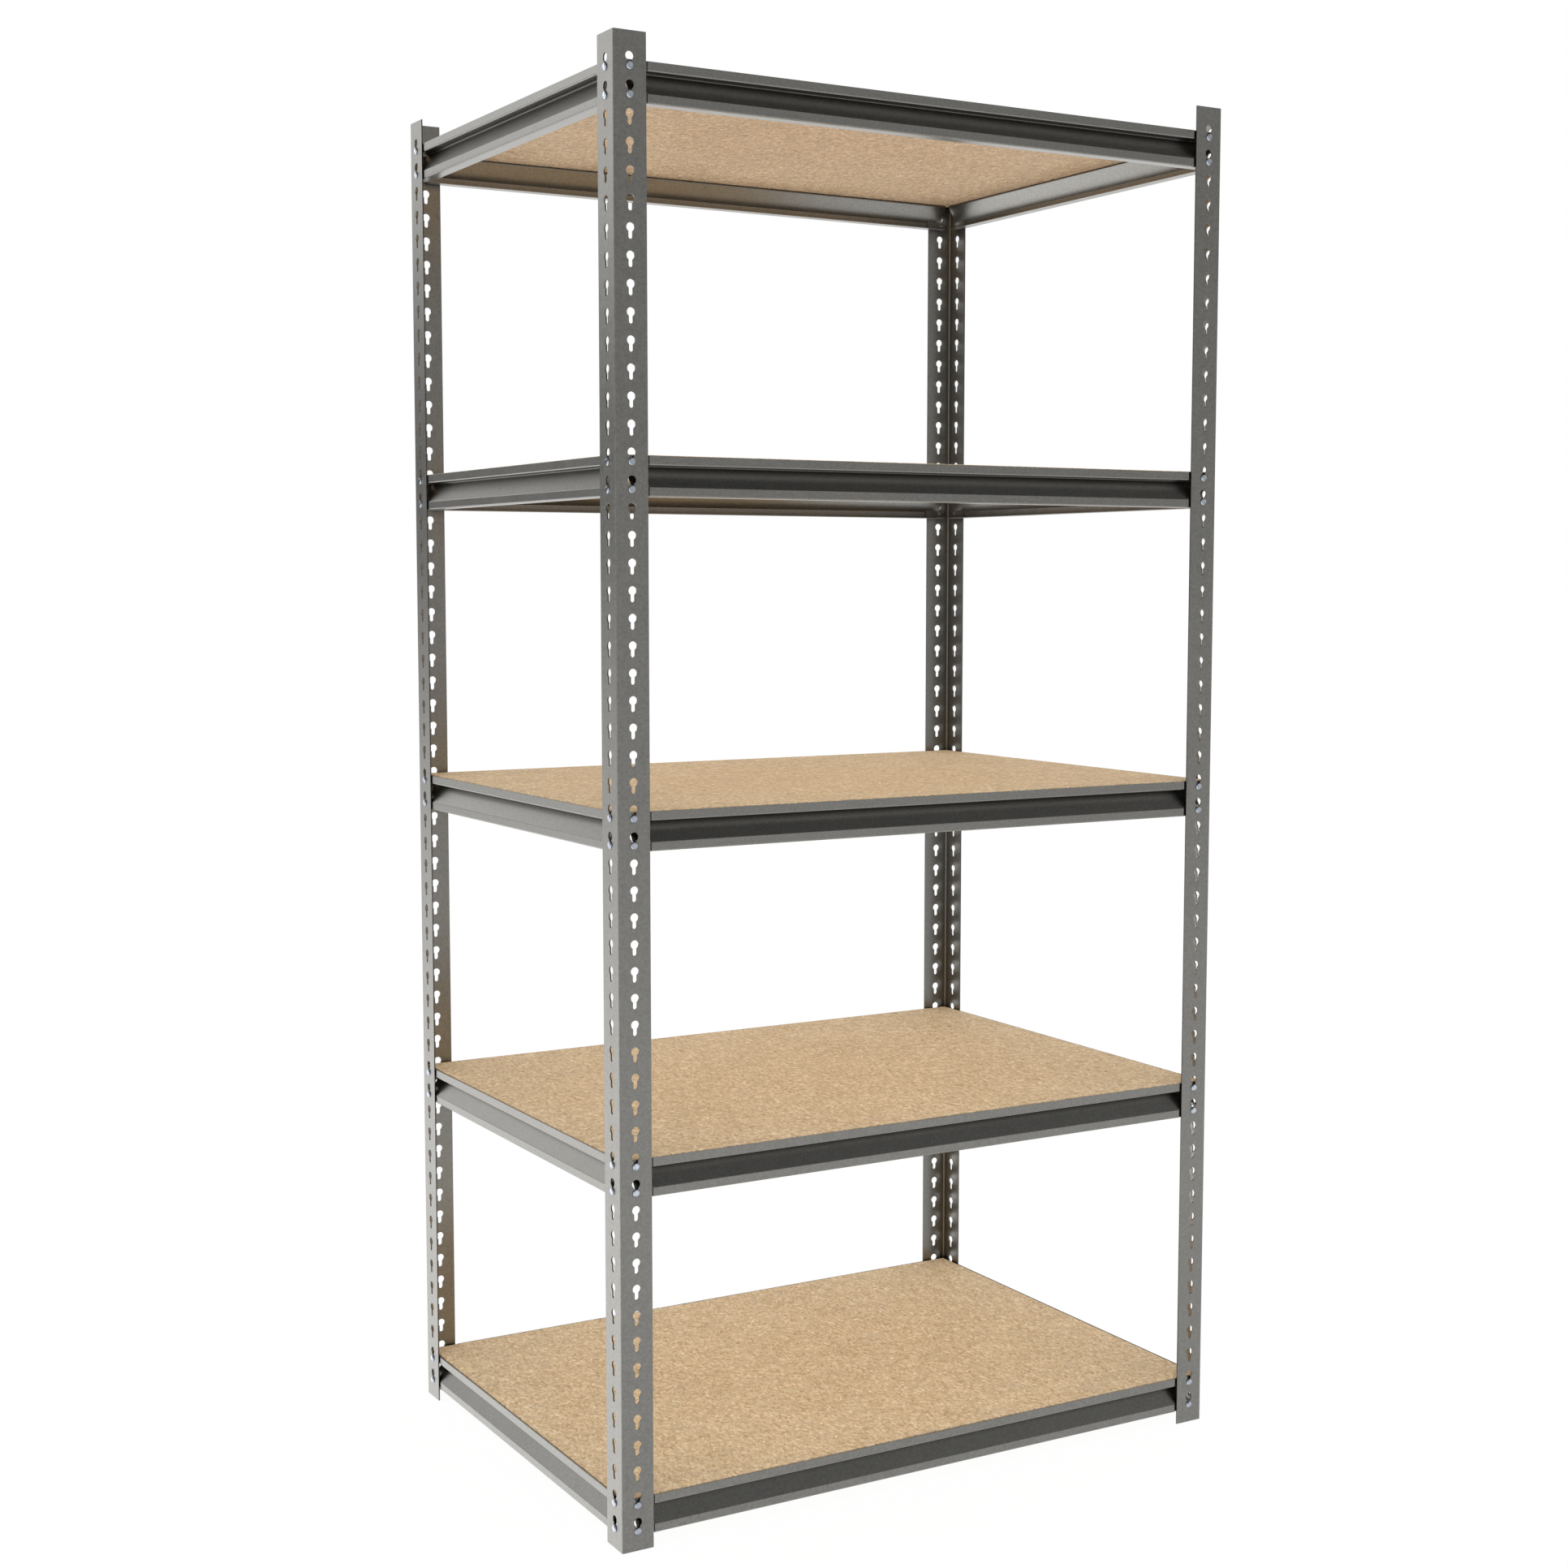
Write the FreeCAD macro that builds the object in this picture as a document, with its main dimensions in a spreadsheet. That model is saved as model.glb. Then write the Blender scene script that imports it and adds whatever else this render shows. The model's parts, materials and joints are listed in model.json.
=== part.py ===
import FreeCAD, Part
import math
import os
import Sketcher  # registers the sketch object type

# Boltless shelving unit: four keyholed angle posts and five decks, each deck on four
# riveted rails. The unit is centred on the Z axis and stands on z = 0; X runs along
# its width from left to right, Y along its depth from front to rear.

os.makedirs("parts", exist_ok=True)
V = FreeCAD.Vector
doc = FreeCAD.newDocument("BoltlessShelving")

# ---------------------------------------------------------------- sizes (mm)
SIZES = {
    "unit_width": 1066.8, "unit_depth": 762.0, "unit_height": 2133.6,
    # posts: bend is the outer radius of the angle, fillet the inner one
    "post_flange": 50.0, "post_gauge": 2.0, "post_bend": 2.5, "post_fillet": 3.0,
    # keyholes: line is in from the post's corner, round and slot are radii, drop is
    # from the round's centre to the slot end's, first is the lowest slot end's height
    "key_line": 25.0, "key_pitch": 38.1, "key_count": 55,
    "key_round": 6.35, "key_slot": 3.2, "key_drop": 12.7, "key_first": 29.5,
    # rails: setback is in from the unit's side, drop is the rail's middle below its
    # rivets' middle, joggle is how far the ends are pressed inwards
    "rail_setback": 2.1, "rail_drop": 0.4, "joggle": 1.4,
    "rail_gauge": 1.5, "rail_tall": 56.4,
    "lip_tall": 13.4, "band_tall": 12.8, "ledge_deep": 18.2, "foot_deep": 20.6,
    "bend_out": 2.0, "bend_in": 0.5, "fold_in": 1.2,
    # rail ends: each end is measured in from the unit's corner
    "face_end": 53.2, "tab_end": 18.0, "cope_end": 25.0,
    "tab_round": 3.0, "cope_round": 1.5, "tenon_hole": 2.25,
    # rivets: radii of head, shank, collar and tenon; tail is the tenon's overhang
    "rivet_head": 5.5, "rivet_head_tall": 2.4, "rivet_shank": 3.0,
    "rivet_collar": 4.5, "rivet_tenon": 2.2, "rivet_tail": 0.5, "rivet_play": 0.1,
    # decks: gap is to the rails' lips, seat is the clearance above their ledges
    "board_thick": 12.7, "board_gap": 2.4, "board_ease": 0.4, "board_seat": 0.1,
}
sheet = doc.addObject("Spreadsheet::Sheet", "Sizes")
for row, (alias, value) in enumerate(SIZES.items(), start=1):
    sheet.set("A%d" % row, alias)
    sheet.set("B%d" % row, "%g" % value)
    sheet.setAlias("B%d" % row, alias)
doc.recompute()


def size(alias):
    return float(sheet.get(alias))


HALF_WIDTH = size("unit_width") / 2
HALF_DEPTH = size("unit_depth") / 2
PITCH = size("key_pitch")
# level: keyhole of its lower rivets, counted up from the lowest one
LEVELS = {1: 0, 2: 13, 3: 26, 4: 39, 5: 53}

GAUGE = size("rail_gauge")
RAIL_TALL = size("rail_tall")
BAND_TOP = size("band_tall")
BEND_OUT = size("bend_out")
LEDGE_BOTTOM = RAIL_TALL - size("lip_tall")
LOWER_RIVET = RAIL_TALL / 2 - PITCH / 2 + size("rail_drop")
RIVET_HEIGHTS = (LOWER_RIVET, LOWER_RIVET + PITCH)

# how far cutting shapes run past the metal
END_OVERRUN = 1.0
FOOT_OVERRUN = 2.0
CORNER_OVERRUN = 0.3

PARTS = []


# ---------------------------------------------------------------- outlines
def rounded(corners):
    """Closed outline of lines and tangent arcs through (x, y, radius) corners."""
    count = len(corners)
    points = [V(x, y, 0) for x, y, radius in corners]
    bends = []  # start, middle and end of each corner's arc; no middle if sharp
    for i, (x, y, radius) in enumerate(corners):
        corner = points[i]
        if radius <= 0:
            bends.append((corner, None, corner))
            continue
        to_last = (points[i - 1] - corner).normalize()
        to_next = (points[(i + 1) % count] - corner).normalize()
        half_angle = math.acos(max(-1.0, min(1.0, to_last.dot(to_next)))) / 2
        trim = radius / math.tan(half_angle)
        bisector = (to_last + to_next).normalize()
        centre = corner + bisector * (radius / math.sin(half_angle))
        bends.append((corner + to_last * trim, centre - bisector * radius,
                      corner + to_next * trim))
    outline = []
    for i, (start, middle, end) in enumerate(bends):
        if middle is not None:
            outline.append(Part.Arc(start, middle, end))
        following = bends[(i + 1) % count][0]
        if end.distanceToPoint(following) > 1e-6:
            outline.append(Part.LineSegment(end, following))
    return outline


def box_lines(x0, y0, x1, y1):
    corners = [V(x0, y0, 0), V(x1, y0, 0), V(x1, y1, 0), V(x0, y1, 0)]
    return [Part.LineSegment(corners[i], corners[(i + 1) % 4]) for i in range(4)]


def keyhole(x, z):
    """Round hole with a slot hanging below it; (x, z) is the slot end's centre."""
    radius, slot = size("key_round"), size("key_slot")
    round_z = z + size("key_drop")
    joint_z = round_z - math.sqrt(radius ** 2 - slot ** 2)
    left, right = V(x - slot, joint_z, 0), V(x + slot, joint_z, 0)
    slot_left, slot_right = V(x - slot, z, 0), V(x + slot, z, 0)
    return [
        Part.Arc(right, V(x, round_z + radius, 0), left),
        Part.LineSegment(left, slot_left),
        Part.Arc(slot_left, V(x, z - slot, 0), slot_right),
        Part.LineSegment(slot_right, right),
    ]


# ---------------------------------------------------------------- features
def new_body(label):
    body = doc.addObject("PartDesign::Body", label)
    body.Label = label
    return body


def finish(part, place):
    part.Placement = place
    PARTS.append(part)


def new_sketch(body, name, role, geometry):
    """Sketch on the body's origin plane that has the given role."""
    plane = next(f for f in body.Origin.OriginFeatures if f.Role == role)
    sketch = body.newObject("Sketcher::SketchObject", name)
    sketch.AttachmentSupport = (plane, [""])
    sketch.MapMode = "FlatFace"
    sketch.addGeometry(geometry, False)
    doc.recompute()
    return sketch


def new_pad(body, name, sketch, length, midplane=False, reverse=False):
    pad = body.newObject("PartDesign::Pad", name)
    pad.Profile = sketch
    pad.Midplane = midplane
    pad.Reversed = reverse
    pad.setExpression("Length", length)
    doc.recompute()
    return pad


def cut_through(body, sketch_name, name, role, geometry):
    """Pocket right through the body, both ways from the plane; must remove metal."""
    before = body.Shape.Volume
    sketch = new_sketch(body, sketch_name, role, geometry)
    pocket = body.newObject("PartDesign::Pocket", name)
    pocket.Profile = sketch
    pocket.Type = "ThroughAll"
    pocket.Midplane = True
    doc.recompute()
    if not body.Shape.Volume < before - 1e-3:
        raise RuntimeError("%s cut nothing" % name)
    return sketch, pocket


def turned(x, y, z, degrees):
    return FreeCAD.Placement(V(x, y, z), FreeCAD.Rotation(V(0, 0, 1), degrees))


# ---------------------------------------------------------------- posts
def cut_keyholes(body, name, role):
    """One keyhole, then a row of them up the post."""
    count = int(size("key_count"))
    whole = body.Shape.Volume
    sketch, pocket = cut_through(body, name + "_shape", name, role,
                                 keyhole(size("key_line"), size("key_first")))
    one_hole = whole - body.Shape.Volume
    row = body.newObject("PartDesign::LinearPattern", name + "_row")
    row.Originals = [pocket]
    row.Direction = (sketch, ["V_Axis"])
    row.setExpression("Occurrences", "Sizes.key_count")
    row.setExpression("Length", "Sizes.key_pitch * (Sizes.key_count - 1)")
    body.Tip = row
    doc.recompute()
    removed = whole - body.Shape.Volume
    if abs(removed - one_hole * count) > 1.0:
        raise RuntimeError("%s: %g cut, %g wanted" % (name, removed, one_hole * count))


def make_post(label, place):
    """Steel angle with its outer corner on the local Z axis, legs along +X and +Y."""
    body = new_body(label)
    flange, gauge = size("post_flange"), size("post_gauge")
    sketch = new_sketch(body, label + "_section", "XY_Plane", rounded([
        (0, 0, size("post_bend")), (flange, 0, 0), (flange, gauge, 0),
        (gauge, gauge, size("post_fillet")), (gauge, flange, 0), (0, flange, 0),
    ]))
    new_pad(body, label + "_length", sketch, "Sizes.unit_height")
    cut_keyholes(body, label + "_key_x", "XZ_Plane")
    cut_keyholes(body, label + "_key_y", "YZ_Plane")
    finish(body, place)


# ---------------------------------------------------------------- rails
def rail_section(back=0.0):
    """Section of a rail: depth inwards as x, height as y.

    back is how far the lip and the band are pressed inwards, as at the ends.
    """
    deep, foot = size("ledge_deep"), size("foot_deep")
    bend_in, fold_in = size("bend_in"), size("fold_in")
    # the web slopes from the ledge's inner edge out and down to the band's top;
    # its inner side is its outer side moved one gauge along the normal
    rise = LEDGE_BOTTOM - BAND_TOP
    slope = rise / deep
    length = math.hypot(deep, rise)
    offset_x = rise / length * GAUGE
    offset_y = BAND_TOP - deep / length * GAUGE
    inside = back + GAUGE
    ledge_top = LEDGE_BOTTOM + GAUGE
    return rounded([
        # outer side, from the lip's top down
        (back, RAIL_TALL, 0),
        (back, LEDGE_BOTTOM, BEND_OUT),
        (deep, LEDGE_BOTTOM, fold_in),
        (back, BAND_TOP + back * slope, BEND_OUT),
        (back, 0, BEND_OUT),
        (foot, 0, 0),
        # inner side, from the foot up
        (foot, GAUGE, 0),
        (inside, GAUGE, bend_in),
        (inside, offset_y + (inside - offset_x) * slope, bend_in),
        (offset_x + (ledge_top - offset_y) / slope, ledge_top, fold_in + GAUGE),
        (inside, ledge_top, bend_in),
        (inside, RAIL_TALL, 0),
    ])


def tab_corner(side, tab, z, up):
    """Waste outside one rounded tab corner; side and up are 1 or -1."""
    radius = size("tab_round")
    inset = radius * (1 - math.sqrt(0.5))
    edge = V(side * (tab - radius), z, 0)
    middle = V(side * (tab - inset), z - up * inset, 0)
    end = V(side * tab, z - up * radius, 0)
    past_z = z + up * CORNER_OVERRUN
    past_x = side * (tab + END_OVERRUN)
    waste = [end, V(past_x, end.y, 0), V(past_x, past_z, 0), V(edge.x, past_z, 0), edge]
    return [Part.Arc(edge, middle, end)] + [
        Part.LineSegment(waste[i], waste[i + 1]) for i in range(4)]


def make_rail(label, span_alias, place):
    """Rail along local X, outer face on y=0, inwards +Y, bottom on z=0."""
    body = new_body(label)
    half = size(span_alias) / 2
    sketch = new_sketch(body, label + "_section", "YZ_Plane", rail_section())
    new_pad(body, label + "_length", sketch,
            "Sizes.%s - 2 * Sizes.face_end" % span_alias, midplane=True)

    # the ends pass behind the post flanges and lap the middle by one gauge
    start = half - size("face_end") - GAUGE
    for side, letter in ((-1, "a"), (1, "b")):
        name = "%s_end_%s" % (label, letter)
        sketch = new_sketch(body, name + "_section", "YZ_Plane",
                            rail_section(size("joggle")))
        sketch.AttachmentOffset = FreeCAD.Placement(V(0, 0, side * start),
                                                    FreeCAD.Rotation())
        doc.recompute()
        new_pad(body, name, sketch, "Sizes.face_end + Sizes.rail_gauge - Sizes.tab_end",
                reverse=side < 0)

    tab, cope = half - size("tab_end"), half - size("cope_end")
    past = tab + END_OVERRUN
    upper_tab_bottom = LEDGE_BOTTOM + BEND_OUT
    cope_round = size("cope_round")
    copes, openings, corners, holes = [], [], [], []
    for side in (-1, 1):
        left, right = sorted((side * cope, side * past))
        # ledge, web and foot stop short so that two rails can meet in a corner
        copes += box_lines(left, size("joggle") + GAUGE,
                           right, size("foot_deep") + FOOT_OVERRUN)
        # the opening between the two tabs, and the bend below the lower one
        openings += rounded([
            (side * cope, BAND_TOP, cope_round), (side * past, BAND_TOP, 0),
            (side * past, upper_tab_bottom, 0),
            (side * cope, upper_tab_bottom, cope_round),
        ])
        openings += box_lines(left, -END_OVERRUN, right, BEND_OUT)
        for z, up in ((RAIL_TALL, 1), (upper_tab_bottom, -1),
                      (BAND_TOP, 1), (BEND_OUT, -1)):
            corners += tab_corner(side, tab, z, up)
        for z in RIVET_HEIGHTS:
            centre = V(side * (half - size("key_line")), z, 0)
            holes.append(Part.Circle(centre, V(0, 0, 1), size("tenon_hole")))
    for sketch_end, cut_end, role, geometry in (
            ("_cope_shape", "_cope", "XY_Plane", copes),
            ("_tab_shape", "_tabs", "XZ_Plane", openings),
            ("_corner_shape", "_corners", "XZ_Plane", corners),
            ("_hole_shape", "_holes", "XZ_Plane", holes)):
        cut_through(body, label + sketch_end, label + cut_end, role, geometry)
    finish(body, place)


# ---------------------------------------------------------------- rivets
# head rim: (in from the head's radius, out from its underside)
HEAD_RIM = [(0.25, 0), (0, 0.25), (0, 0.9)]
# step and groove in the head's face: (in from the head's radius, below its top)
HEAD_FACE = [(1.1, 0.15), (1.6, 0.15), (1.9, 0.55), (2.4, 0.55), (2.7, 0)]
TENON_EASE = 0.3


def rivet_solid():
    """Shoulder rivet, head towards -Y; y=0 is the tab's outer face."""
    play = size("rivet_play")
    to_post_face = size("rail_setback") + size("joggle")
    under_head = -to_post_face - play
    head_top = under_head - size("rivet_head_tall")
    collar_end = -to_post_face + size("post_gauge") + play
    tail = GAUGE + size("rivet_tail")
    head, shank = size("rivet_head"), size("rivet_shank")
    collar, tenon = size("rivet_collar"), size("rivet_tenon")
    # (radius, y)
    profile = [
        (0, tail), (tenon - TENON_EASE, tail), (tenon, tail - TENON_EASE), (tenon, 0),
        (collar, 0), (collar, collar_end), (shank, collar_end), (shank, under_head),
    ]
    profile += [(head - inset, under_head - out) for inset, out in HEAD_RIM]
    profile += [(head - inset, head_top + depth) for inset, depth in HEAD_FACE]
    profile.append((0, head_top))
    points = [V(radius, y, 0) for radius, y in profile]
    face = Part.Face(Part.makePolygon(points + [points[0]]))
    return face.revolve(V(0, 0, 0), V(0, 1, 0), 360)


ONE_RIVET = rivet_solid()


def make_rivets(label, span_alias, place):
    """The four rivets of one rail, as four separate solids in the rail's frame."""
    line = size(span_alias) / 2 - size("key_line")
    solids = []
    for side in (-1, 1):
        for z in RIVET_HEIGHTS:
            rivet = ONE_RIVET.copy()
            rivet.translate(V(side * line, size("joggle"), z))
            solids.append(rivet)
    rivets = doc.addObject("Part::Feature", label)
    rivets.Label = label
    rivets.Shape = Part.makeCompound(solids)
    finish(rivets, place)


# ---------------------------------------------------------------- decks
def make_deck(label, place):
    """Flat board inside the four lips, all its edges eased; bottom on local z=0."""
    body = new_body(label)
    inset = size("rail_setback") + GAUGE + size("board_gap")
    x, y = HALF_WIDTH - inset, HALF_DEPTH - inset
    sketch = new_sketch(body, label + "_outline", "XY_Plane", box_lines(-x, -y, x, y))
    pad = new_pad(body, label + "_thickness", sketch, "Sizes.board_thick")
    ease = body.newObject("PartDesign::Chamfer", label + "_ease")
    ease.Base = (pad, ["Edge%d" % (i + 1) for i in range(len(pad.Shape.Edges))])
    ease.setExpression("Size", "Sizes.board_ease")
    body.Tip = ease
    doc.recompute()
    finish(body, place)


def make_shelf(level, keyhole_number):
    """Four rails with their rivets, and the deck that lies on the ledges."""
    lower_rivet_z = size("key_first") + keyhole_number * PITCH
    z = lower_rivet_z - LOWER_RIVET
    x, y = HALF_WIDTH - size("rail_setback"), HALF_DEPTH - size("rail_setback")
    for side, span_alias, place in (
            ("front", "unit_width", turned(0, -y, z, 0)),
            ("right", "unit_depth", turned(x, 0, z, 90)),
            ("rear", "unit_width", turned(0, y, z, 180)),
            ("left", "unit_depth", turned(-x, 0, z, 270))):
        make_rail("shelf_%d_%s_beam" % (level, side), span_alias, place)
        make_rivets("shelf_%d_%s_rivets" % (level, side), span_alias, place)
    deck_z = z + LEDGE_BOTTOM + GAUGE + size("board_seat")
    make_deck("shelf_%d_deck" % level, turned(0, 0, deck_z, 0))


# ---------------------------------------------------------------- the unit
make_post("post_front_left", turned(-HALF_WIDTH, -HALF_DEPTH, 0, 0))
make_post("post_front_right", turned(HALF_WIDTH, -HALF_DEPTH, 0, 90))
make_post("post_rear_right", turned(HALF_WIDTH, HALF_DEPTH, 0, 180))
make_post("post_rear_left", turned(-HALF_WIDTH, HALF_DEPTH, 0, 270))
for level, keyhole_number in LEVELS.items():
    make_shelf(level, keyhole_number)
doc.recompute()

# ---------------------------------------------------------------- checks and files
for obj in doc.Objects:
    if "Invalid" in obj.State or "Error" in obj.State:
        raise RuntimeError("%s is in state %s" % (obj.Label, obj.State))
if len({part.Label for part in PARTS}) != len(PARTS):
    raise RuntimeError("two parts share a name")
for part in PARTS:
    if part.Shape.isNull() or not part.Shape.isValid():
        raise RuntimeError("%s is not valid" % part.Label)
    wanted = 4 if part.Label.endswith("_rivets") else 1
    if len(part.Shape.Solids) != wanted:
        raise RuntimeError("%s has %d solids" % (part.Label, len(part.Shape.Solids)))
for part in PARTS:
    part.Shape.exportStep(os.path.join("parts", part.Label + ".step"))
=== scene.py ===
"""A five-shelf rack: galvanised posts and beams, zinc rivets and chipboard decks.

The rack stands on the floor, centred on the origin: width along X, depth along Y (front at -Y)
and height along Z. Metres throughout.
"""
import bpy
import json
import math
import random
from functools import reduce
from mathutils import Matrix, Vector

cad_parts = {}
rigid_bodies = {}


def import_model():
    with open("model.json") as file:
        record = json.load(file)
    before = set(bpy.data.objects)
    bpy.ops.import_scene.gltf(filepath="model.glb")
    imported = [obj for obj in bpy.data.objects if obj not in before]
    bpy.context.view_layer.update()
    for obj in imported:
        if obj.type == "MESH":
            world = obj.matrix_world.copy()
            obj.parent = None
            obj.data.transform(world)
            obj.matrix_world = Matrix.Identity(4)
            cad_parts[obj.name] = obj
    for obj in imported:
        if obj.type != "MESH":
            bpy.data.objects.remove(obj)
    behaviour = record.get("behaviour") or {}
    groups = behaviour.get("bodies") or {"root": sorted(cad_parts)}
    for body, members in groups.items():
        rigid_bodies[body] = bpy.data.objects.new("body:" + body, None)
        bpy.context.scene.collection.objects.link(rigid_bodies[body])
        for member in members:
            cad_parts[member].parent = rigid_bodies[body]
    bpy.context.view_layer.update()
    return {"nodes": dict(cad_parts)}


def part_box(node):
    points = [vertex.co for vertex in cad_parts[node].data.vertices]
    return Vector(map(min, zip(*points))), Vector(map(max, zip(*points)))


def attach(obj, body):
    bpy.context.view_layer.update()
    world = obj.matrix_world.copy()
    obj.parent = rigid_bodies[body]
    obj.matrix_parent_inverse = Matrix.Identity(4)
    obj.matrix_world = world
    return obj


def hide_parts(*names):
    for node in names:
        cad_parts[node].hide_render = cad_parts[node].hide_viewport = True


for stray in list(bpy.data.objects):
    bpy.data.objects.remove(stray)

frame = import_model()
NODES = frame["nodes"]
scene = bpy.context.scene

# ------------------------------------------------------------------ sizes
HALF_WIDTH = 0.5334
HALF_DEPTH = 0.3810
POST_FLANGE = 0.050
SHELVES = 5

DECK_STEP = 0.006       # spacing of points round a deck's rim
ARRIS = 0.0007          # height of the worn strip at a deck's upper and lower edges
CORNER_WEAR = 0.0004    # extra inset at a deck's four corners
CHIP_CHANCE = 0.035
CHIP_DEPTH = (0.0004, 0.0014)

STEEL_TONE = 0.30
STEEL_COLOUR = (STEEL_TONE, STEEL_TONE * 0.985, STEEL_TONE * 0.925)
STEEL_ROUGHNESS = 0.30


# ------------------------------------------------------------------ shader nodes
class Tree:
    """Adds and links the shader nodes of a material or world."""

    def __init__(self, owner):
        owner.use_nodes = True
        self.tree = owner.node_tree
        self.tree.nodes.clear()

    def feed(self, socket, value):
        """Links a socket, or sets a plain value."""
        if isinstance(value, bpy.types.NodeSocket):
            self.tree.links.new(value, socket)
        else:
            socket.default_value = value

    def node(self, kind, inputs=(), **settings):
        node = self.tree.nodes.new(kind)
        for name, value in settings.items():
            setattr(node, name, value)
        for key, value in dict(inputs).items():
            self.feed(node.inputs[key], value)
        return node

    def math(self, operation, first, second=0.5):
        return self.node("ShaderNodeMath", {0: first, 1: second}, operation=operation).outputs[0]

    def fold(self, operation, values):
        return reduce(lambda first, second: self.math(operation, first, second), values)

    def plus(self, *values):
        return self.fold("ADD", values)

    def times(self, *values):
        return self.fold("MULTIPLY", values)

    def minus(self, first, second):
        return self.math("SUBTRACT", first, second)

    def size(self, value):
        return self.math("ABSOLUTE", value)

    def vector(self, operation, first, second):
        node = self.node("ShaderNodeVectorMath", {0: first, 1: second}, operation=operation)
        return node.outputs[0]

    def scaled(self, vector, factor):
        node = self.node("ShaderNodeVectorMath", {0: vector, "Scale": factor}, operation="SCALE")
        return node.outputs[0]

    def split(self, vector):
        return self.node("ShaderNodeSeparateXYZ", {0: vector}).outputs

    def coordinates(self, space):
        return self.node("ShaderNodeTexCoord").outputs[space]

    def mapping(self, vector, scale=(1, 1, 1), turn=(0, 0, 0), shift=(0, 0, 0)):
        inputs = {"Vector": vector, "Scale": scale, "Rotation": turn, "Location": shift}
        return self.node("ShaderNodeMapping", inputs).outputs[0]

    def noise(self, vector, scale, detail=2.0, rough=0.5, distort=0.0, output=0):
        """Output 0 is the grey value and 1 the colour."""
        inputs = {"Vector": vector, "Scale": scale, "Detail": detail, "Roughness": rough,
                  "Distortion": distort}
        return self.node("ShaderNodeTexNoise", inputs).outputs[output]

    def cells(self, vector):
        """Red, green and blue of randomly coloured unit cells."""
        cell = self.node("ShaderNodeTexVoronoi", {"Vector": vector, "Scale": 1.0})
        return self.node("ShaderNodeSeparateColor", {0: cell.outputs["Color"]}).outputs

    def remap(self, value, span, to, smooth=False):
        inputs = {"Value": value, "From Min": span[0], "From Max": span[1],
                  "To Min": to[0], "To Max": to[1]}
        curve = "SMOOTHSTEP" if smooth else "LINEAR"
        return self.node("ShaderNodeMapRange", inputs, interpolation_type=curve).outputs[0]

    def mix_colour(self, factor, first, second):
        inputs = {0: factor, 6: first, 7: second}
        return self.node("ShaderNodeMix", inputs, data_type="RGBA").outputs[2]

    def mix_value(self, factor, first, second):
        inputs = {0: factor, 2: first, 3: second}
        return self.node("ShaderNodeMix", inputs, data_type="FLOAT").outputs[0]

    def mix_shader(self, factor, first, second):
        return self.node("ShaderNodeMixShader", {0: factor, 1: first, 2: second}).outputs[0]

    def ramp(self, value, stops):
        """A colour ramp; stops are position and RGB."""
        node = self.node("ShaderNodeValToRGB", {0: value})
        elements = node.color_ramp.elements
        while len(elements) > 1:
            elements.remove(elements[-1])
        elements[0].position = stops[0][0]
        elements[0].color = (*stops[0][1], 1)
        for position, colour in stops[1:]:
            elements.new(position).color = (*colour, 1)
        return node.outputs[0]

    def bump(self, height, distance, strength, **inputs):
        inputs.update(Height=height, Distance=distance, Strength=strength)
        return self.node("ShaderNodeBump", inputs).outputs[0]


def new_material(name):
    made = bpy.data.materials.new(name)
    tree = Tree(made)
    output = tree.node("ShaderNodeOutputMaterial")
    surface = tree.node("ShaderNodeBsdfPrincipled")
    tree.feed(output.inputs["Surface"], surface.outputs[0])
    return made, tree, surface.inputs


def own_space(tree):
    """Object coordinates shifted by the piece's own seed, so no two pieces match."""
    seed = tree.node("ShaderNodeAttribute", attribute_type="OBJECT", attribute_name="seed")
    spread = (3.71, -5.13, 2.39)    # shift along X, Y and Z per unit of seed
    shift = {axis: tree.times(seed.outputs["Fac"], far) for axis, far in enumerate(spread)}
    moved = tree.node("ShaderNodeCombineXYZ", shift).outputs[0]
    return tree.vector("ADD", tree.coordinates("Object"), moved)


# ------------------------------------------------------------------ steel
def sheared(tree):
    """1 on the sheared edges of the posts' flanges. Their colour is darkened, partly for the raw
    cut steel and partly as painted shade of the gap beside the beams.
    """
    tolerance, facing = 0.0004, 0.9
    geometry = tree.node("ShaderNodeNewGeometry").outputs
    place = tree.split(geometry["Position"])
    normal = tree.split(geometry["True Normal"])
    hits = []
    for axis, half in enumerate((HALF_WIDTH, HALF_DEPTH)):
        off = tree.size(tree.minus(tree.size(place[axis]), half - POST_FLANGE))
        hits.append(tree.times(tree.math("LESS_THAN", off, tolerance),
                               tree.math("GREATER_THAN", tree.size(normal[axis]), facing)))
    return tree.fold("MAXIMUM", hits)


def scuffs(tree, space):
    """Faint handling scuffs at two slants, only here and there."""
    lines = []
    for i, turn in enumerate(((0.7, 0.25, 0.5), (-0.5, 0.8, -0.35))):
        slant = tree.mapping(tree.mapping(space, turn=turn),
                             scale=(9.0, 55.0, 55.0), shift=(i * 1.7, 0.3, 0.9))
        wave = tree.noise(slant, scale=1.0, detail=0.0, rough=0.4)
        middle = 0.5    # a scuff follows this level of the noise
        line = tree.remap(tree.size(tree.minus(wave, middle)), span=(0.004, 0.014), to=(1.0, 0.0))
        region = tree.noise(tree.mapping(space, shift=(i * 4.0, 2.0, 0)), scale=8.0, detail=1.0)
        lines.append(tree.times(line, tree.remap(region, span=(0.60, 0.72), to=(0.0, 1.0))))
    return tree.fold("MAXIMUM", lines)


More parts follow.
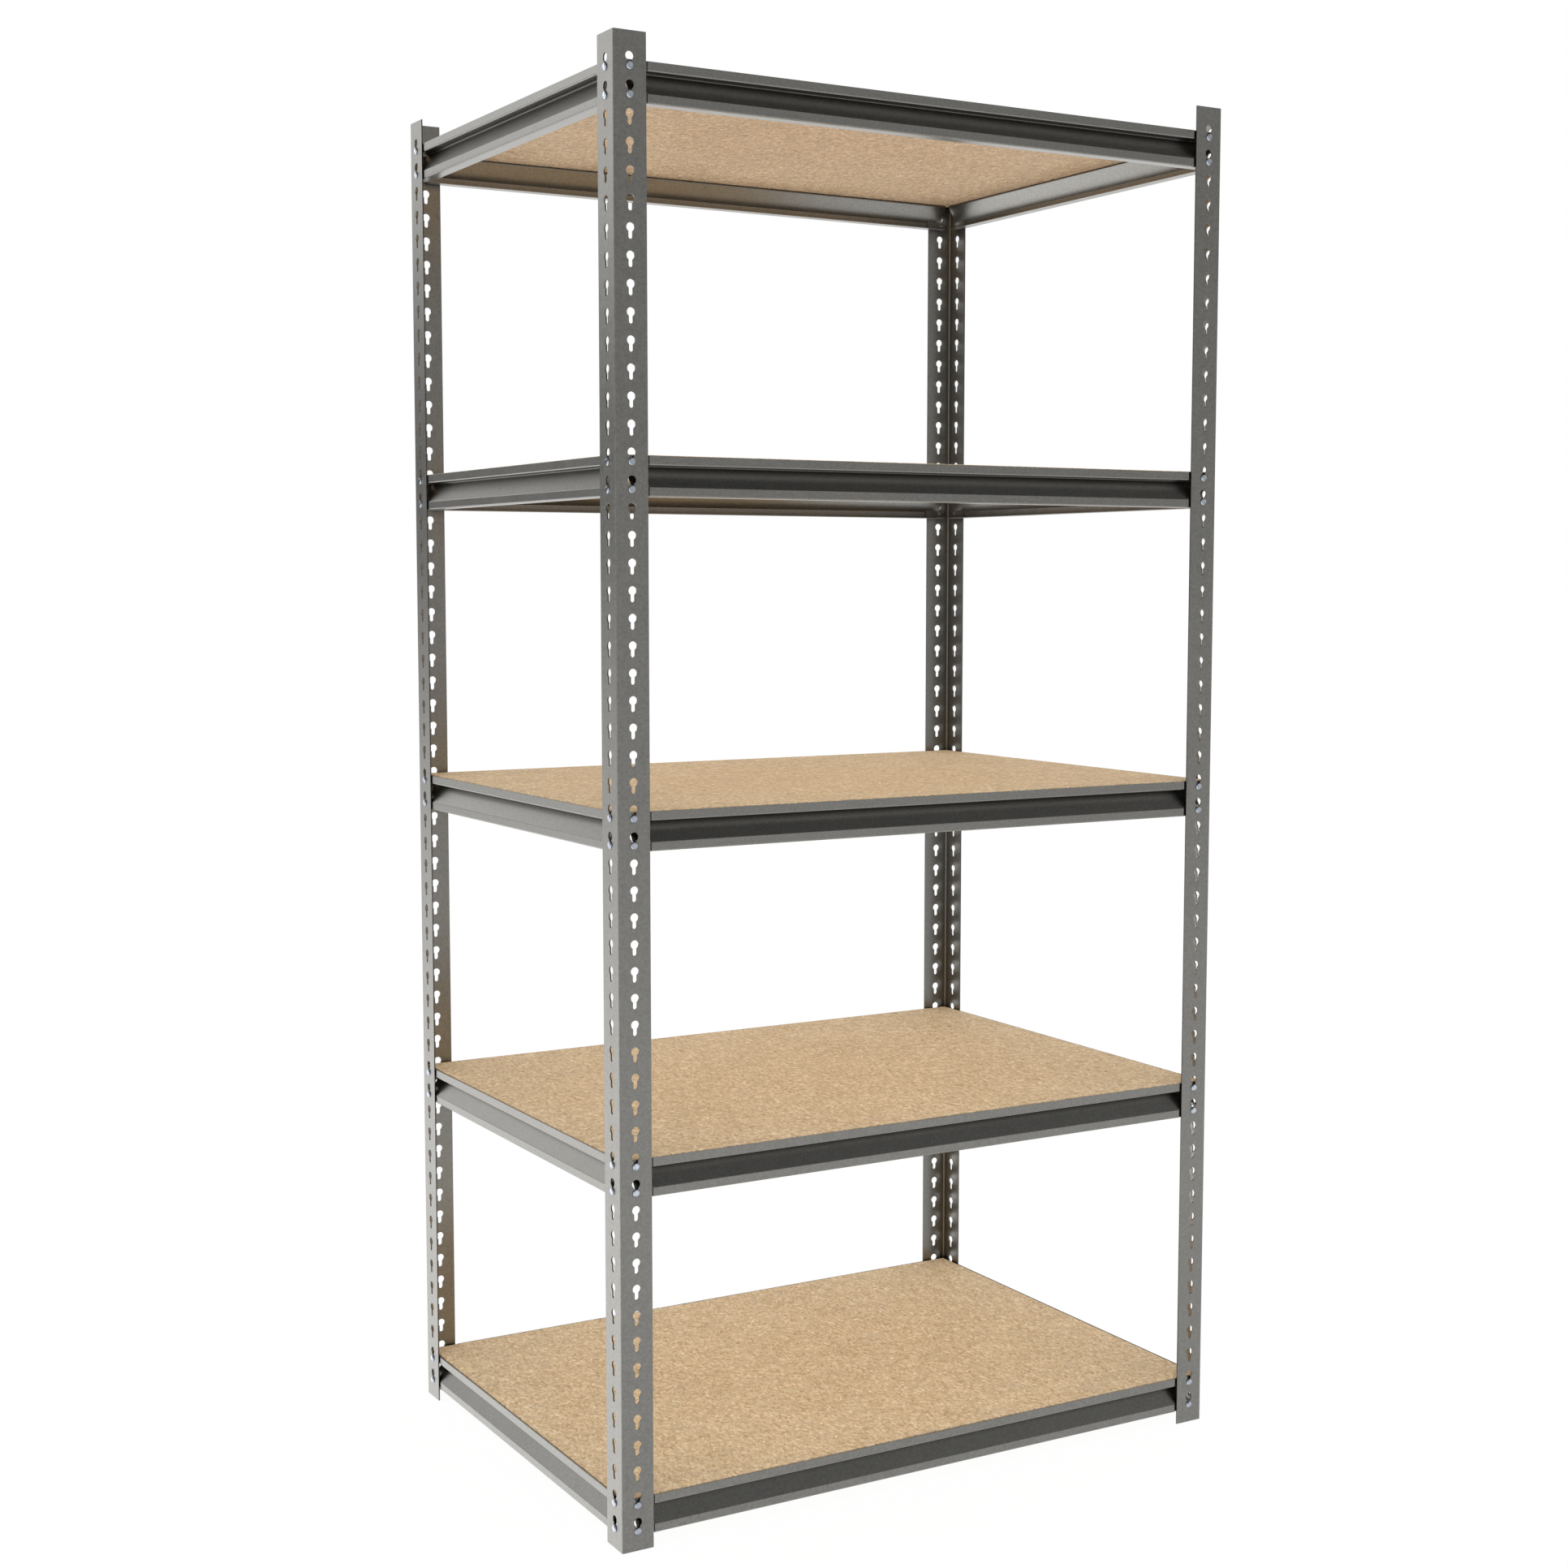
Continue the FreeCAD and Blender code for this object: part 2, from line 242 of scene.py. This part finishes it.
def steel(run):
    """Satin galvanised sheet, rolled along the axis named by run."""
    made, tree, surface = new_material("steel_" + run)
    space = own_space(tree)
    cloud = tree.noise(space, scale=5.0, detail=3.0, rough=0.55)
    blotch = tree.noise(space, scale=38.0, detail=3.0, rough=0.6, distort=0.4)
    mottle = tree.noise(space, scale=250.0, detail=4.0, rough=0.72)
    grain = tree.noise(space, scale=640.0, rough=0.6)
    along, across = 14.0, 240.0    # brushing frequency along and across the sheet
    stretch = tuple(along if axis == run else across for axis in "xyz")
    brushed = tree.noise(tree.mapping(space, scale=stretch), scale=1.0, rough=0.55)
    lines = scuffs(tree, space)

    tone = tree.plus(
        tree.remap(cloud, span=(0.3, 0.7), to=(-0.02, 0.02)),
        tree.remap(blotch, span=(0.25, 0.75), to=(-0.025, 0.025)),
        tree.remap(mottle, span=(0.34, 0.66), to=(-0.10, 0.10), smooth=True),
        tree.remap(grain, span=(0.25, 0.75), to=(-0.07, 0.07)),
        tree.remap(brushed, span=(0.25, 0.75), to=(-0.015, 0.015)))
    # the flange edges lose 0.55 of their tone: partly raw cut steel, partly painted shade of the
    # gap beside the beams
    scuff_dark, cut_edge_and_gap_shade = 0.06, 0.55
    tone = tree.plus(tree.minus(tone, tree.times(lines, scuff_dark)), 1.0)
    # painted shade: ambient occlusion darkens the colour in creases, slots and under the rivet
    # heads, standing in for the shade there
    crease = tree.node("ShaderNodeAmbientOcclusion", {"Distance": 0.012}, samples=6)
    painted_crease_shade = tree.remap(crease.outputs["AO"], span=(0.20, 0.92), to=(0.30, 1.0))
    tone = tree.times(tone, painted_crease_shade, tree.minus(1.0, tree.times(sheared(tree), cut_edge_and_gap_shade)))
    tree.feed(surface["Base Color"], tree.scaled(STEEL_COLOUR, tone))
    surface["Metallic"].default_value = 1.0

    blotch_range = (STEEL_ROUGHNESS - 0.015, STEEL_ROUGHNESS + 0.02)
    scuff_rough = 0.05
    tree.feed(surface["Roughness"], tree.plus(
        tree.remap(blotch, span=(0.25, 0.75), to=blotch_range),
        tree.remap(mottle, span=(0.25, 0.75), to=(-0.03, 0.03)),
        tree.times(lines, scuff_rough)))

    edge = tree.node("ShaderNodeBevel", {"Radius": 0.0005}, samples=4).outputs[0]
    grain_share, mottle_share, scuff_share = 0.3, 0.7, 0.3    # parts of the relief
    relief = tree.plus(tree.times(grain, grain_share), tree.times(mottle, mottle_share))
    relief = tree.minus(relief, tree.times(lines, scuff_share))
    tree.feed(surface["Normal"], tree.bump(relief, distance=0.00003, strength=0.5, Normal=edge))
    return made


def zinc():
    """Bright zinc-plated rivet steel with a faint blue cast."""
    made, tree, surface = new_material("zinc_plate")
    space = own_space(tree)
    spot = tree.noise(space, scale=900.0, rough=0.6)
    wide = tree.noise(space, scale=160.0)
    tone = tree.plus(tree.remap(spot, span=(0.25, 0.75), to=(-0.06, 0.06)),
                     tree.remap(wide, span=(0.3, 0.7), to=(0.95, 1.03)))
    blue_grey = (0.66, 0.71, 0.79)
    tree.feed(surface["Base Color"], tree.scaled(blue_grey, tone))
    surface["Metallic"].default_value = 1.0
    tree.feed(surface["Roughness"], tree.remap(spot, span=(0.2, 0.8), to=(0.11, 0.20)))
    tree.feed(surface["Normal"], tree.bump(spot, distance=0.00002, strength=0.5))
    return made


# ------------------------------------------------------------------ board
# Wood colours from dark to light: position, RGB
WOOD = [
    (0.00, (0.300, 0.190, 0.098)),
    (0.20, (0.400, 0.268, 0.147)),
    (0.36, (0.515, 0.365, 0.212)),
    (0.50, (0.615, 0.456, 0.281)),
    (0.68, (0.735, 0.563, 0.370)),
    (1.00, (0.940, 0.800, 0.600)),
]
PINK_WOOD = (0.61, 0.415, 0.280, 1)
DUSTY_WOOD = (0.500, 0.400, 0.285, 1)
FLAKE_LAYERS = 5
FLECKED_LAYERS = (1, 3)


def flakes(tree, space):
    """Layers of flakes turned every way: their tone, and a mask of the light flecks."""
    tone, flecks = None, []
    for i in range(FLAKE_LAYERS):
        turned = tree.mapping(space, turn=(0.3 * i, 0.21 * i, 0.628 * i + 0.2),
                              shift=(0.13 * i, 0.07 * i, 0.11 * i))
        red, green, blue = tree.cells(
            tree.mapping(turned, scale=(88.0 + 14 * i, 215.0 + 24 * i, 215.0)))
        if tone is None:
            tone = red
        else:
            pick = tree.remap(green, span=(0.60, 0.66), to=(0.0, 1.0))
            tone = tree.mix_value(pick, tone, red)
        if i in FLECKED_LAYERS:
            flecks.append(tree.remap(blue, span=(0.86, 0.92), to=(0.0, 1.0)))
    return tone, tree.fold("MAXIMUM", flecks)


def painted_rim_shade(tree):
    """Painted shade: upper faces are darker towards their rims than in the middle, standing in
    for light pooling on the middle of each deck.
    """
    place = tree.split(tree.coordinates("Object"))
    normal = tree.split(tree.node("ShaderNodeNewGeometry").outputs["Normal"])
    falloff = 2.5
    parts = []
    for axis, reach, amount in ((0, 0.53, 0.10), (1, 0.38, 0.07)):
        outward = tree.size(tree.times(place[axis], 1 / reach))
        parts.append(tree.times(tree.math("POWER", outward, falloff), amount))
    upward = tree.remap(normal[2], span=(0.5, 0.9), to=(0.0, 1.0))
    return tree.times(tree.plus(*parts), upward)


def chipboard():
    """Pressed wood flakes with fine fibre between them."""
    made, tree, surface = new_material("pressed_board")
    space = own_space(tree)
    wobble = tree.noise(space, scale=160.0, rough=0.6, output=1)
    centre, warp_reach = (0.5, 0.5, 0.5), 0.006
    warp = tree.scaled(tree.vector("SUBTRACT", wobble, centre), warp_reach)
    bent = tree.mapping(tree.vector("ADD", space, warp), scale=(1.25, 0.85, 1.0))
    flake, fleck = flakes(tree, bent)
    fine = tree.noise(bent, scale=620.0, rough=0.65)
    fibre = tree.noise(bent, scale=170.0, detail=3.0, rough=0.65)
    patch = tree.noise(space, scale=48.0, detail=3.0, rough=0.6)
    cloud = tree.noise(space, scale=7.0, detail=3.0)
    flake_tone, fleck_tone = 0.38, 0.16    # weights in the wood's lightness
    lightness = tree.plus(
        tree.times(flake, flake_tone),
        tree.remap(fine, span=(0.25, 0.75), to=(0.0, 0.24)),
        tree.remap(fibre, span=(0.25, 0.75), to=(0.0, 0.34)),
        tree.remap(patch, span=(0.3, 0.7), to=(-0.05, 0.05)),
        tree.remap(cloud, span=(0.3, 0.7), to=(-0.03, 0.03)),
        tree.times(fleck, fleck_tone))
    colour = tree.ramp(lightness, WOOD)
    pink = tree.noise(bent, scale=75.0, rough=0.6)
    pink = tree.remap(pink, span=(0.52, 0.66), to=(0.0, 0.35))
    colour = tree.mix_colour(pink, colour, PINK_WOOD)
    dusty = tree.noise(space, scale=34.0, detail=3.0, rough=0.6)
    dusty = tree.remap(dusty, span=(0.50, 0.66), to=(0.0, 0.30))
    colour = tree.mix_colour(dusty, colour, DUSTY_WOOD)
    # painted shade on the deck tops towards their rims
    colour = tree.scaled(colour, tree.minus(1.0, painted_rim_shade(tree)))
    tree.feed(surface["Base Color"], colour)
    tree.feed(surface["Roughness"], tree.remap(flake, span=(0.0, 1.0), to=(0.62, 0.82)))
    surface["Specular IOR Level"].default_value = 0.3
    flake_share, fibre_share = 0.6, 0.4    # parts of the relief
    relief = tree.plus(tree.times(flake, flake_share), tree.times(fibre, fibre_share))
    tree.feed(surface["Normal"], tree.bump(relief, distance=0.00012, strength=0.7))
    return made


STEEL = {run: steel(run) for run in "xyz"}
ZINC = zinc()
BOARD = chipboard()


# ------------------------------------------------------------------ CAD pieces
def finish_for(name):
    if name.startswith("post_"):
        return STEEL["z"]
    if name.endswith("_beam"):
        return STEEL["x" if "front" in name or "rear" in name else "y"]
    if name.endswith("_rivets"):
        return ZINC
    return BOARD


def dress(piece, finish, seed):
    piece.data.materials.clear()
    piece.data.materials.append(finish)
    piece["seed"] = seed


seeds = random.Random(20)
for name in sorted(NODES):
    dress(NODES[name], finish_for(name), seeds.uniform(0.0, 9.0))


# ------------------------------------------------------------------ decks
def deck_rim(lo, hi):
    """Points round a deck as x, y and inward direction, and the corners by index."""
    wide, deep = hi.x - lo.x, hi.y - lo.y
    across, back = int(round(wide / DECK_STEP)), int(round(deep / DECK_STEP))
    rim = [(lo.x + wide * i / across, lo.y, 0.0, 1.0) for i in range(across)]
    rim += [(hi.x, lo.y + deep * i / back, -1.0, 0.0) for i in range(back)]
    rim += [(hi.x - wide * i / across, hi.y, 0.0, -1.0) for i in range(across)]
    rim += [(lo.x, hi.y - deep * i / back, 1.0, 0.0) for i in range(back)]
    corners = {0: (1, 1), across: (-1, 1), across + back: (-1, -1), 2 * across + back: (1, -1)}
    return rim, corners


def deck(level):
    """A sawn board with crumbled arrises, in the space the CAD board holds."""
    node = "shelf_%d_deck" % level
    lo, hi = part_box(node)
    chips = random.Random(700 + level)
    rim, corners = deck_rim(lo, hi)
    count = len(rim)
    tall = hi.z - lo.z
    # height, inset and how much it crumbles, from the underside to the top
    rows = [
        (0.0, 0.0030, 0.0),
        (0.0, 0.0005, 0.0005),
        (ARRIS, 0.0001, 0.0003),
        (0.3 * tall, 0.00005, 0.00025),
        (0.62 * tall, 0.00005, 0.00025),
        (tall - ARRIS, 0.0001, 0.0003),
        (tall, 0.0005, 0.0005),
        (tall, 0.0030, 0.0),
    ]
    chipped_from = 0.0004    # rows that crumble more than this also lose whole chips
    verts, faces = [], []
    for z, inset, crumble in rows:
        for i, (x, y, inward_x, inward_y) in enumerate(rim):
            chip = crumble * (chips.random() ** 2)
            if crumble > chipped_from and chips.random() < CHIP_CHANCE:
                chip += chips.uniform(*CHIP_DEPTH)
            depth = inset + chip
            if i in corners:
                inward_x, inward_y = corners[i]
                depth += CORNER_WEAR
            verts.append((x + inward_x * depth, y + inward_y * depth, lo.z + z))
    for row in range(len(rows) - 1):
        low, high = row * count, (row + 1) * count
        for i in range(count):
            j = (i + 1) % count
            faces.append((low + i, low + j, high + j, high + i))
    faces.append(tuple(range((len(rows) - 1) * count, len(rows) * count)))
    faces.append(tuple(reversed(range(count))))
    mesh = bpy.data.meshes.new("shelf_%d_board_mesh" % level)
    mesh.from_pydata(verts, [], faces)
    mesh.validate()
    board = bpy.data.objects.new("shelf_%d_chipboard" % level, mesh)
    scene.collection.objects.link(board)
    dress(board, BOARD, NODES[node]["seed"])
    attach(board, "shelf_%d_board" % level)
    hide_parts(node)


for level in range(1, SHELVES + 1):
    deck(level)


# ------------------------------------------------------------------ floor
def studio_floor():
    """A glowing white floor just below the rack, which lights and shades nothing."""
    reach, drop = 40, 0.0005
    mesh = bpy.data.meshes.new("floor_mesh")
    corners = [(x * reach, y * reach, 0) for x, y in ((-1, -1), (1, -1), (1, 1), (-1, 1))]
    mesh.from_pydata(corners, [], [(0, 1, 2, 3)])
    floor = bpy.data.objects.new("studio_floor", mesh)
    scene.collection.objects.link(floor)
    floor.location.z = -drop
    pale = bpy.data.materials.new("pale_floor")
    tree = Tree(pale)
    output = tree.node("ShaderNodeOutputMaterial")
    glow = tree.node("ShaderNodeEmission", {"Color": (1, 1, 1, 1), "Strength": 1.0})
    matt = tree.node("ShaderNodeBsdfDiffuse", {"Color": (0.98, 0.98, 0.98, 1)})
    matt_share = 0.06
    mixed = tree.mix_shader(matt_share, glow.outputs[0], matt.outputs[0])
    tree.feed(output.inputs["Surface"], mixed)
    mesh.materials.append(pale)
    floor.visible_glossy = False
    floor.visible_diffuse = False
    floor.visible_shadow = False


studio_floor()

# ------------------------------------------------------------------ light
# What the steel mirrors: degrees above the horizon, brightness
REAR_GLOW = [
    (-75, 0.60), (-45, 0.62), (-30, 0.86), (-14, 0.97), (-10, 0.87), (-7.7, 0.66), (-5.5, 0.60),
    (-3, 0.50), (-1.2, 0.30), (0.5, 0.12), (2.0, 0.02), (3.8, 0.02), (5.2, 0.07), (6.6, 0.28),
    (8.5, 0.62), (10, 0.86), (13, 1.0), (16, 0.78), (20, 0.44), (25, 0.38), (30, 0.32),
    (42, 0.24), (50, 0.15), (58, 0.08), (65, 0.05), (75, 0.05),
]
FRONT_GLOW = [
    (-75, 0.48), (-50, 0.66), (-35, 0.46), (-23, 0.31), (-19, 0.38), (-15, 0.66), (-11, 0.46),
    (-7, 0.32), (-2, 0.31), (2, 0.28), (6, 0.22), (10, 0.18), (14, 0.32), (22, 0.27), (30, 0.13),
    (40, 0.075), (50, 0.04), (65, 0.03), (75, 0.035),
]
GLOW_LIMIT = 75      # degrees above and below the horizon that the tables cover
GLOW_TONE = 0.5      # the steel tone the tables are given for


def by_height(tree, height, table):
    low, high = math.sin(math.radians(-GLOW_LIMIT)), math.sin(math.radians(GLOW_LIMIT))
    stops = []
    for degrees, value in table:
        position = (math.sin(math.radians(degrees)) - low) / (high - low)
        stops.append((position, (value * GLOW_TONE / STEEL_TONE,) * 3))
    return tree.ramp(tree.remap(height, span=(low, high), to=(0.0, 1.0)), stops)


def studio_world():
    """White to the camera, banded in reflections, and even grey for all other light."""
    world = bpy.data.worlds.new("studio")
    scene.world = world
    tree = Tree(world)
    output = tree.node("ShaderNodeOutputWorld")
    x, y, z = tree.split(tree.coordinates("Generated"))
    rearward = tree.remap(y, span=(-0.45, 0.45), to=(0.0, 1.0), smooth=True)
    # the rear is dimmer towards the right (+X)
    dimming = tree.remap(x, span=(-0.10, 0.25), to=(1.0, 0.80), smooth=True)
    rear = tree.scaled(by_height(tree, z, REAR_GLOW), dimming)
    mirrored = tree.mix_colour(rearward, by_height(tree, z, FRONT_GLOW), rear)
    soft, white = (0.80, 0.80, 0.80, 1), (1, 1, 1, 1)
    mirrored, soft, white = (tree.node("ShaderNodeBackground", {"Color": colour}).outputs[0]
                             for colour in (mirrored, soft, white))
    ray = tree.node("ShaderNodeLightPath").outputs
    lit = tree.mix_shader(ray["Is Glossy Ray"], soft, mirrored)
    tree.feed(output.inputs["Surface"], tree.mix_shader(ray["Is Camera Ray"], lit, white))


def aim(thing, direction):
    thing.rotation_mode = "QUATERNION"
    thing.rotation_quaternion = Vector(direction).to_track_quat("-Z", "Y")


def fill(name, energy, direction, colour):
    """A soft sun with no shadow: even light on the boards, not mirrored in the steel."""
    light = bpy.data.lights.new(name, "SUN")
    light.energy = energy
    light.color = colour
    light.angle = math.radians(40)
    light.use_shadow = False
    # only some Blender builds keep a second shadow switch here
    if hasattr(light, "cycles") and hasattr(light.cycles, "cast_shadow"):
        light.cycles.cast_shadow = False
    sun = bpy.data.objects.new(name, light)
    scene.collection.objects.link(sun)
    aim(sun, direction)
    sun.visible_glossy = False


studio_world()
fill("fill_top", energy=1.32, direction=(0.15, 0.25, -1.0), colour=(1.02, 1.04, 0.98))
fill("fill_bottom", energy=0.58, direction=(0.1, 0.2, 1.0), colour=(0.90, 0.97, 1.18))

# ------------------------------------------------------------------ camera
CAMERA_PLACE = (-1.91589, -3.23868, 1.39003)
YAW, PITCH = 0.5235, -0.08878    # radians: from +Y towards +X, and above level

lens = bpy.data.cameras.new("camera")
lens.lens = 52.506
lens.sensor_width = 36.0
lens.sensor_fit = "HORIZONTAL"
lens.clip_start = 0.05
lens.clip_end = 200.0
camera = bpy.data.objects.new("camera", lens)
scene.collection.objects.link(camera)
camera.location = CAMERA_PLACE
aim(camera, (math.sin(YAW) * math.cos(PITCH), math.cos(YAW) * math.cos(PITCH), math.sin(PITCH)))
scene.camera = camera

scene.view_settings.view_transform = "Standard"
scene.view_settings.look = "None"
scene.view_settings.exposure = 0.0
scene.view_settings.gamma = 1.0
